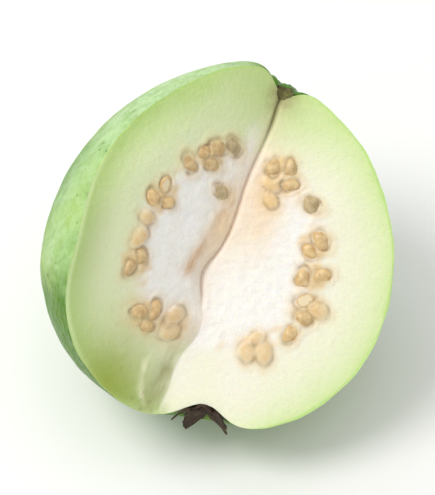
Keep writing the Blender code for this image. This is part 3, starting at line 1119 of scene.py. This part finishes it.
def skin_material():
    """Waxy green skin: blotches, pale flecks, dark pits and a few brown scuffs, with painted sheen and shade
    by the left cut.
    """
    material, tree, shader = new_material("guava_skin")
    place = millimetres(tree)
    green = mix(tree, layer(tree, place, "flecks"), layer(tree, place, "skin greens"), FLECK_COLOUR)
    # Painted shade: a deeper green beside the left cut, below its sheen.
    green = add_marks(tree, place, green, (SHADED_GREEN_MARK,))
    # Painted sheen: the pale strip beside the left cut, laid with the bloom's random waxy patches.
    waxy = maths(tree, "SUBTRACT", layer(tree, place, "wax"), value_of(tree, "shaded_green"))
    bloom_and_sheen = maths(tree, "MAXIMUM", waxy, value_of(tree, "bloom_and_sheen"))
    green = mix(tree, product(tree, bloom_and_sheen, layer(tree, place, "worn wax")), green, BLOOM_AND_SHEEN_COLOUR)
    spots = {"Vector": place, "Scale": 1 / PIT_SPACING, "Randomness": 1.0}
    pit = ramp(tree, node(tree, "ShaderNodeTexVoronoi", spots).outputs["Distance"], PIT_STOPS)
    pits = product(tree, pit, layer(tree, place, "pitted places"))
    green = mix(tree, pits, green, PIT_COLOUR)
    green = mix(tree, layer(tree, place, "scuffs"), green, SCUFF_COLOUR)
    green = add_marks(tree, place, green, (SCAR_MARK,))
    cells = {"Vector": place, "Scale": 1 / PEEL_SIZE, "Smoothness": PEEL_SMOOTHNESS}
    peel = node(tree, "ShaderNodeTexVoronoi", cells, feature="SMOOTH_F1").outputs["Distance"]
    fine = clouds(tree, place, *GRAINS["skin fine"])
    coarse = clouds(tree, place, *GRAINS["skin"])
    grain = with_shares(tree, coarse, (fine, SKIN_FINE), (peel, PEEL_HEIGHT), (pits, -PIT_DEPTH))
    normal = finish_surface(tree, shader, green, layer(tree, place, "skin rough"), grain, BUMPS["skin"])
    tree.links.new(normal, shader.inputs["Coat Normal"])
    return material


def flesh_material():
    """The cut faces: green at the skin, cream flesh, white pulp, and tan stains round the seeds."""
    material, tree, shader = new_material("guava_flesh")
    place = millimetres(tree)
    lumps = clouds(tree, place, *GRAINS["flesh patches"])
    patchy = maths(tree, "MULTIPLY_ADD", lumps, PATCH_STRETCH, -PATCH_STRETCH / 2)
    depth = product(tree, value_of(tree, "ripe"), 1 / RIPE_AT)
    body = ramp(tree, with_shares(tree, depth, (patchy, PATCH_SHARE)), FLESH_STOPS)
    ragged = clouds(tree, place, *GRAINS["rim"])
    rim = ramp(tree, with_shares(tree, value_of(tree, "inward"), (ragged, -RIM_RAGGED)), RIM_STOPS)
    body = add_marks(tree, place, mix(tree, rim, body, RIM_COLOUR), MARKS_UNDER_PULP)
    body = mix(tree, value_of(tree, "pulp"), body, layer(tree, place, "pulp whites"))
    body = add_marks(tree, place, body, MARKS_OVER_PULP)
    fine = clouds(tree, place, *GRAINS["flesh fine"])
    grain = with_shares(tree, clouds(tree, place, *GRAINS["flesh"]), (fine, FLESH_FINE))
    finish_surface(tree, shader, body, layer(tree, place, "flesh rough"), grain, BUMPS["flesh"])
    return material


def seed_material():
    """Tan seeds, paler where the knife went through them."""
    material, tree, shader = new_material("guava_seed")
    place = millimetres(tree)
    greyed = value_of(tree, "shade")
    husk = mix(tree, greyed, layer(tree, place, "tan husk"), layer(tree, place, "grey husk"))
    body = mix(tree, value_of(tree, "kernel"), husk, KERNEL_COLOUR)
    grain = clouds(tree, place, *GRAINS["seed"])
    finish_surface(tree, shader, body, layer(tree, place, "seed rough"), grain, BUMPS["seed"])
    return material


def bark_material():
    """Dry brown tissue of the calyx and of the stub in the stem scar."""
    material, tree, shader = new_material("dry_tissue")
    place = millimetres(tree)
    fibre = clouds(tree, place, *LAYERS["bark"][0])
    finish_surface(tree, shader, layer(tree, place, "bark"), None, fibre, BUMPS["bark"])
    return material


def wood_material():
    """The stub's wood where the knife went through it: olive brown, in mottled tones."""
    material, tree, shader = new_material("stub_wood")
    tree.links.new(layer(tree, millimetres(tree), "wood"), shader.inputs["Base Color"])
    return material


def closed_tube(rings, first, last):
    """Points and faces of a tube through rings of points, closed by a fan at each end."""
    sides = len(rings[0])
    points = [first] + [point for ring in rings for point in ring] + [last]
    end = len(points) - 1
    faces = []
    for side in range(sides):
        following = (side + 1) % sides
        faces.append((0, 1 + following, 1 + side))
        for ring in range(len(rings) - 1):
            lower = 1 + ring * sides
            upper = lower + sides
            faces.append((lower + side, lower + following, upper + following, upper + side))
        faces.append((end, end - sides + side, end - sides + following))
    return points, faces


def turns_of(sides):
    """The angles of evenly spaced sides round a circle."""
    return [2 * math.pi * side / sides for side in range(sides)]


def unit_ball():
    """Points and faces of a ball of diameter 1, always in the same order."""
    rings = []
    for row in range(1, SEED_ROWS):
        polar = math.pi * row / SEED_ROWS
        across = math.sin(polar)
        circle = [(math.cos(turn), math.sin(turn)) for turn in turns_of(SEED_TURNS)]
        rings.append([(across * x, across * y, -math.cos(polar)) for x, y in circle])
    points, faces = closed_tube(rings, (0, 0, -1), (0, 0, 1))
    return np.array(points) / 2, faces


def seed_shape(unit, seed, number):
    """Points of one seed before its turn: tapered, bent to one side and lumpy."""
    ready = unit * np.array((SEED_WIDTH, SEED_LENGTH, SEED_THICKNESS)) * seed["size"]
    length = ready[:, 1] / SEED_LENGTH
    ready[:, 0] *= 1 - SEED_TAPER * length * seed["taper"]
    ready[:, 0] += SEED_BEND * length**2 * (1 if number % 2 else -1)
    lumps = sum(height * wave(ready, size, number) for size, height in SEED_LUMPS)
    return ready + unit * lumps[:, None]


def make_seeds(seeds, lean):
    """Every seed that shows: whole ones that stand out of the pulp, and ones that the knife sliced flat."""
    points = []
    faces = []
    kernels = []
    shades = []
    unit, unit_faces = unit_ball()
    for number, seed in enumerate(seeds):
        if seed["kind"] == "covered":
            continue
        turn = np.array(seed["turn"])
        own = seed_shape(unit, seed, number) @ turn[:3, :3].T + turn[:3, 3]
        kernel = np.zeros(len(own))
        if seed["kind"] == "sliced":
            normal = np.array(face_normal(seed["face"]))
            above = np.maximum(own @ normal - SLICE_HEIGHT, 0)
            own = own - normal * above[:, None]
            kernel = np.where((seed_reach(own, seed) < KERNEL_REACH) & (above > 0), 1.0, 0.0)
        start = len(points)
        points += [lean @ Vector(point) for point in own]
        faces += [[start + corner for corner in face] for face in unit_faces]
        kernels += list(kernel)
        shades += [seed["shade"]] * len(own)
    made = mesh_object("guava_seeds", points, faces)
    set_values(made.data, "kernel", kernels)
    set_values(made.data, "shade", shades)
    made.data.materials.append(seed_material())
    return made


def wedge():
    """The removed wedge as a closed prism, a little short of the faces so that wood stands out of them."""
    up = crease_direction()
    right, left = outward("right"), outward("left")
    open_side = (right + left).normalized()
    shift = open_side * WOOD_PROUD / open_side.dot(face_normal("right"))
    reach = WEDGE_REACH * BODY_RADIUS
    corners = (Vector((0, 0, 0)), right * reach, open_side * 2 * reach, left * reach)
    points = [end * up * reach + corner + shift for end in (-1, 1) for corner in corners]
    faces = [(3, 0, 1, 2), (4, 7, 6, 5)]
    faces += [(side, side + 4, (side + 1) % 4 + 4, (side + 1) % 4) for side in range(4)]
    made = mesh_object("wedge", points, faces)
    made.hide_render = True
    return made


def cut_by_wedge(thing, lean, materials, solver="EXACT"):
    """Cuts the wedge out of a piece, sets it down, and gives it its materials, the last one to its cut."""
    cutter = wedge()
    cut = thing.modifiers.new("wedge", "BOOLEAN")
    cut.operation = "DIFFERENCE"
    cut.solver = solver
    cut.object = cutter
    settled = thing.evaluated_get(bpy.context.evaluated_depsgraph_get())
    mesh = bpy.data.meshes.new_from_object(settled)
    thing.modifiers.clear()
    thing.data = mesh
    mesh.materials.clear()
    for material in materials:
        mesh.materials.append(material)
    normals = (face_normal("right"), face_normal("left"))
    for polygon in mesh.polygons:
        is_cut = any(abs(polygon.normal.dot(normal)) > CUT_ALIGNMENT for normal in normals)
        polygon.material_index = len(materials) - 1 if is_cut else 0
    mesh.transform(lean)
    mesh.shade_smooth()
    mesh.set_sharp_from_angle(angle=SHARP_ANGLE)
    bpy.data.objects.remove(cutter)


def stub_radius(turn, rise):
    """The stub's radius at a turn round it and a share of its height."""
    ridges = sum(height * math.sin(count * turn + twist * rise) for count, height, twist in STUB_RIDGES)
    foot = math.sin(math.pi / 2 * min(1, STUB_FOOT + STUB_FLARE * rise))
    return STUB_RADIUS * (foot - STUB_NARROWS * rise**2 + ridges)


def crumpled(point):
    """A point of the stub's bark, moved a little in each direction."""
    places = [point / (BARK_LUMP_SIZE * MM) + Vector((0, 0, apart)) for apart in BARK_LUMPS_APART]
    return point + Vector([noise.noise(place) for place in places]) * BARK_LUMP_HEIGHT * MM


def make_stub(lean, bark):
    """The woody stub in the stem scar: ridged bark, a ragged broken top, and its wood cut by the knife."""
    share = (1 - (STEM_AT / BODY_RADIUS) ** STEM_HALF_POWER) ** (1 / STEM_HALF_POWER)
    floor = WIDEST_AT + (STEM_END - WIDEST_AT) * share - STEM_DIMPLE_DEPTH
    top = floor + STUB_PROUD
    rings = []
    for band in range(STUB_BANDS + 1):
        rise = band / STUB_BANDS
        level = top - STUB_HEIGHT * (1 - rise)
        ring = []
        for turn in turns_of(STUB_SIDES):
            radius = stub_radius(turn, rise)
            ring.append(crumpled(Vector((STEM_AT + radius * math.cos(turn), radius * math.sin(turn), level))))
        rings.append(ring)
    middle_low = Vector((STEM_AT, 0, top - STUB_HEIGHT))
    middle_high = Vector((STEM_AT, 0, top))
    # The top sinks towards its middle in ragged steps.
    for inward in STUB_STEPS:
        ring = [middle_high.lerp(point, inward) for point in rings[STUB_BANDS]]
        sunk = [STEP_DEPTH * abs(noise.noise(point / STEP_SIZE)) for point in ring]
        rings.append([point - Vector((0, 0, depth)) for point, depth in zip(ring, sunk)])
    made = mesh_object("stem_stub", *closed_tube(rings, middle_low, middle_high - Vector((0, 0, TOP_SINKS))))
    cut_by_wedge(made, lean, (bark, wood_material()))
    return made


def basin_wall(tree, reach, turn):
    """A point of the uncut skin, straight below a place beside the calyx's middle."""
    start = Vector((CALYX_AT + reach * math.cos(turn), reach * math.sin(turn), -3 * BODY_RADIUS))
    return tree.ray_cast(start, Vector((0, 0, 1)))[0]


def sepal_share(turn):
    """How far the sepals reach at a turn round the calyx, as a share of the usual length."""
    place = SEPALS * turn / (2 * math.pi)
    return SEPAL_LENGTHS[int(place) % SEPALS] * (1 - abs(2 * (place % 1) - 1)) ** SEPAL_POINTEDNESS


def calyx_point(tree, turn, out):
    """A point of the calyx: out is 0 in its middle and 1 at its edge."""
    share = sepal_share(turn)
    round_it = Vector((math.cos(turn), math.sin(turn), CALYX_NOISE_LEVEL))
    ragged = 1 + sum(height * noise.noise(round_it * count) for count, height in SEPAL_LOBES)
    reach = (CALYX_RADIUS + SEPAL_LENGTH * share) * ragged * out
    point = basin_wall(tree, reach, turn)
    place = Vector((reach * math.cos(turn), reach * math.sin(turn), 0)) / CRUMPLE_SIZE
    crumple = CRUMPLE_HEIGHT * noise.noise(place) * out
    fold = SEPAL_RIDGE * share * out**2 * math.cos(2 * SEPALS * turn)
    # A ragged ring of dead stamens stands round the middle.
    count, base, swing = TUFT_BREAKS
    tuft = float(ridge(reach, TUFT_HEIGHT, TUFT_RADIUS, TUFT_WIDTH))
    tuft *= base + swing * noise.noise(round_it * count)
    return point - Vector((0, 0, TOUCH_GAP + SEPAL_CURL * out**3 * share + crumple + fold + tuft))


def make_calyx(tree, lean, bark):
    """The dried calyx: pointed, crumpled sepals that lie back in the basin round a ragged tuft."""
    sides = SEPALS * CALYX_SIDES
    points = [calyx_point(tree, 0, 0)]
    for ring in range(1, CALYX_RINGS + 1):
        points += [calyx_point(tree, turn, ring / CALYX_RINGS) for turn in turns_of(sides)]
    faces = []
    for side in range(sides):
        following = (side + 1) % sides
        faces.append((0, 1 + following, 1 + side))
        for inner in range(1, len(points) - sides, sides):
            outer = inner + sides
            faces.append((inner + side, inner + following, outer + following, outer + side))
    made = mesh_object("dried_calyx_sepals", points, faces)
    # The sheet is thick in its middle and thin at its edge.
    weights = made.vertex_groups.new(name="thick")
    for number in range(len(points)):
        ring = (number + sides - 1) // sides
        weights.add([number], 1 - (ring / CALYX_RINGS) ** 2, "REPLACE")
    thick = made.modifiers.new("thickness", "SOLIDIFY")
    thick.thickness = SEPAL_THICKNESS
    thick.offset = 0
    thick.vertex_group = "thick"
    thick.thickness_vertex_group = EDGE_THICKNESS
    # The exact solver takes the whole calyx away.
    cut_by_wedge(made, lean, (bark,), "MANIFOLD")
    return made


def make_floor():
    """A plain pale floor."""
    corners = [(x * FLOOR_REACH, y * FLOOR_REACH, 0) for x, y in ((-1, -1), (1, -1), (1, 1), (-1, 1))]
    floor = mesh_object("floor", corners, [(0, 1, 2, 3)])
    floor.data.materials.append(new_material("pale_floor")[0])


def camera_axes():
    """The camera's right, up and back directions."""
    right = Vector((1, 0, 0))
    back = Vector((0, -math.cos(LEAN_BACK), math.sin(LEAN_BACK)))
    return right, back.cross(right), back


def make_light():
    """Soft white light, weaker from the sides, and two large soft lamps."""
    world = bpy.data.worlds.new("soft_white")
    world.use_nodes = True
    tree = world.node_tree
    background = tree.nodes["Background"]
    direction = node(tree, "ShaderNodeTexCoord").outputs["Generated"]
    height = node(tree, "ShaderNodeSeparateXYZ", {"Vector": direction}).outputs["Z"]
    tree.links.new(ramp(tree, height, SKY_STOPS), background.inputs["Color"])
    background.inputs["Strength"].default_value = WORLD_STRENGTH
    bpy.context.scene.world = world
    right, up, back = camera_axes()
    aim = Vector((0, 0, LAMP_AIM))
    for name, (across, above, before), size, power, colour in LAMPS:
        light = bpy.data.lights.new(name, "AREA")
        light.shape = "DISK"
        light.size = size
        light.energy = power
        light.color = colour
        lamp = bpy.data.objects.new(name, light)
        lamp.location = aim + right * across + up * above + back * before
        lamp.rotation_euler = (aim - lamp.location).to_track_quat("-Z", "Y").to_euler()
        bpy.context.scene.collection.objects.link(lamp)


def make_camera():
    """Looks straight at the right cut face, as the photo does, with the fruit large in the frame."""
    back = camera_axes()[2]
    low, high = (Vector(corner) for corner in cad_box)
    data = bpy.data.cameras.new("camera")
    data.sensor_fit = "HORIZONTAL"
    data.sensor_width = SENSOR
    data.lens = SENSOR * CAMERA_DISTANCE / FRAME_WIDTH
    data.clip_start = NEAR_CLIP
    camera = bpy.data.objects.new("camera", data)
    camera.location = (low + high) / 2 + back * CAMERA_DISTANCE
    camera.rotation_euler = back.to_track_quat("Z", "Y").to_euler()
    bpy.context.scene.collection.objects.link(camera)
    bpy.context.scene.camera = camera


def main():
    tree = whole_fruit()
    seeds = seeds_of_faces()
    fruit, lean = make_fruit(tree, seeds)
    fruit.data.materials.append(skin_material())
    fruit.data.materials.append(flesh_material())
    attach(fruit, "root")
    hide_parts("cut_guava")
    grains = make_seeds(seeds, lean)
    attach(grains, "root")
    bark = bark_material()
    stub = make_stub(lean, bark)
    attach(stub, "root")
    calyx = make_calyx(tree, lean, bark)
    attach(calyx, "root")
    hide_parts("dried_calyx")
    make_floor()
    make_light()
    make_camera()
    bpy.context.scene.view_settings.view_transform = "Standard"


main()
